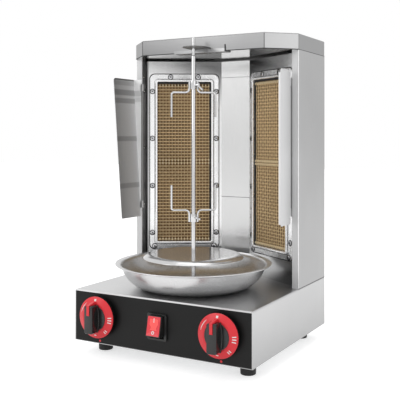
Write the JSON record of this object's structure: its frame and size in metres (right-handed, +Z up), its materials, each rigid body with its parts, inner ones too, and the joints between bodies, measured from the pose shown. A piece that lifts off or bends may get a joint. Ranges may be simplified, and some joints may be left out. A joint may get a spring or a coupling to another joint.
{
  "type": "doner kebab grill",
  "caption": "Table-top gas grill: upright ceramic burners behind mesh around a motor-turned spit with forks and disc, over a round drip pan, with side shields, knobs and a switch.",
  "frame": {"origin": "on the floor under the base's centre, at the feet's undersides", "axes": "+X to the user's right, +Y to the grill's back, +Z up along the spit"},
  "size_m": [0.3055, 0.338, 0.489],
  "materials": {
    "steel_brushed": "fine brushed stainless sheet",
    "steel_bright": "bright rolled stainless sheet",
    "steel_frame": "satin pressed stainless sheet",
    "steel_polished": "polished stainless",
    "steel_plain": "plain zinc-coated sheet and turned steel",
    "screw_chrome": "bright plated screw heads",
    "panel_black": "black, half gloss",
    "foot_rubber": "matt black",
    "mesh_brass": "heat-toned wire screen",
    "fitting_brass": "plain turned brass",
    "plaque_ceramic": "matt, finely perforated",
    "knob_black": "black, satin",
    "knob_red": "red",
    "switch_black": "black",
    "switch_red": "translucent red, lit from inside",
    "motor_paint": "grey paint",
    "gland_black": "black"
  },
  "bodies": {
    "housing": {"base_bottom_plate": "steel_plain", "base_housing": "steel_brushed", "burner_screws": "screw_chrome", "ceiling_plate": "steel_bright", "centre_panel": "steel_bright", "drive_motor": "motor_paint", "front_panel": "panel_black", "gas_inlet": "fitting_brass", "gas_manifold": "steel_plain", "hood_shell": "steel_brushed", "left_burner_frame": "steel_frame", "left_burner_head": "steel_plain", "left_burner_mesh": "mesh_brass", "left_burner_panel": "steel_bright", "left_column": "steel_brushed", "left_gas_line": "fitting_brass", "left_gas_valve": "fitting_brass", "left_lower_plaque": "plaque_ceramic", "left_mixing_tube": "steel_plain", "left_shield_hinge": "steel_brushed", "left_upper_plaque": "plaque_ceramic", "motor_bracket": "steel_plain", "power_gland": "gland_black", "rear_cover": "steel_brushed", "right_burner_frame": "steel_frame", "right_burner_head": "steel_plain", "right_burner_mesh": "mesh_brass", "right_burner_panel": "steel_bright", "right_column": "steel_brushed", "right_gas_line": "fitting_brass", "right_gas_valve": "fitting_brass", "right_lower_plaque": "plaque_ceramic", "right_mixing_tube": "steel_plain", "right_shield_hinge": "steel_brushed", "right_upper_plaque": "plaque_ceramic", "rubber_feet": "foot_rubber", "spit_top_bracket": "steel_brushed", "switch_housing": "switch_black"},
    "drive": {"drive_coupling": "steel_plain"},
    "spit": {"spit_rod": "steel_polished", "meat_disc": "steel_polished"},
    "upper_fork": {"upper_fork": "steel_polished"},
    "lower_fork": {"lower_fork": "steel_polished"},
    "upper_fork_screw": {"upper_fork_screw": "steel_polished"},
    "lower_fork_screw": {"lower_fork_screw": "steel_polished"},
    "drip_pan": {"drip_pan": "steel_polished"},
    "rocker": {"rocker": "switch_red"},
    "right_shield": {"right_shield": "steel_brushed"},
    "left_shield": {"left_shield": "steel_brushed"},
    "left_tap": {"left_valve_plug": "fitting_brass"},
    "left_knob": {"left_knob": "knob_black", "left_knob_ring": "knob_red", "left_knob_pointer": "knob_red", "left_valve_stem": "steel_plain"},
    "right_tap": {"right_valve_plug": "fitting_brass"},
    "right_knob": {"right_knob": "knob_black", "right_knob_ring": "knob_red", "right_knob_pointer": "knob_red", "right_valve_stem": "steel_plain"}
  },
  "joints": [
    {"name": "drive_spin", "type": "hinge", "parent": "housing", "child": "drive", "pos_m": [0, -0.0365, 0.1], "axis": [0, 0, 1], "continuous": true},
    {"name": "spit_lift", "type": "slide", "parent": "drive", "child": "spit", "axis": [0, 0, 1], "range_m": [0, 0.0125]},
    {"name": "upper_fork_slide", "type": "slide", "parent": "spit", "child": "upper_fork", "axis": [0, 0, 1], "range_m": [-0.08, 0.035]},
    {"name": "lower_fork_slide", "type": "slide", "parent": "spit", "child": "lower_fork", "axis": [0, 0, 1], "range_m": [-0.045, 0.02]},
    {"name": "upper_fork_screw_turn", "type": "hinge", "parent": "upper_fork", "child": "upper_fork_screw", "pos_m": [0.01195, -0.03755, 0.4113], "axis": [0.9962, -0.0872, 0], "range_deg": [0, 360]},
    {"name": "lower_fork_screw_turn", "type": "hinge", "parent": "lower_fork", "child": "lower_fork_screw", "pos_m": [0.01195, -0.03755, 0.205], "axis": [0.9962, -0.0872, 0], "range_deg": [0, 360]},
    {"name": "drip_pan_lift", "type": "slide", "parent": "housing", "child": "drip_pan", "axis": [0, 0, 1], "range_m": [0, 0.038]},
    {"name": "rocker_tilt", "type": "hinge", "parent": "housing", "child": "rocker", "pos_m": [0, -0.1368, 0.0595], "axis": [1, 0, 0], "range_deg": [0, 24]},
    {"name": "right_shield_swing", "type": "hinge", "parent": "housing", "child": "right_shield", "pos_m": [0.1356, 0.0236, 0.315], "axis": [0, 0, 1], "range_deg": [-60, 85]},
    {"name": "left_shield_swing", "type": "hinge", "parent": "housing", "child": "left_shield", "pos_m": [-0.1356, 0.0236, 0.315], "axis": [0, 0, 1], "range_deg": [0, 80]},
    {"name": "left_tap_turn", "type": "hinge", "parent": "housing", "child": "left_tap", "pos_m": [-0.1025, -0.115, 0.0622], "axis": [0, -1, 0], "range_deg": [0, 210]},
    {"name": "left_knob_push", "type": "slide", "parent": "left_tap", "child": "left_knob", "axis": [0, 1, 0], "range_m": [0, 0.003], "stiffness_N_per_m": 400, "springref_m": -0.003},
    {"name": "right_tap_turn", "type": "hinge", "parent": "housing", "child": "right_tap", "pos_m": [0.1025, -0.115, 0.0622], "axis": [0, -1, 0], "range_deg": [0, 210]},
    {"name": "right_knob_push", "type": "slide", "parent": "right_tap", "child": "right_knob", "axis": [0, 1, 0], "range_m": [0, 0.003], "stiffness_N_per_m": 400, "springref_m": -0.003}
  ]
}
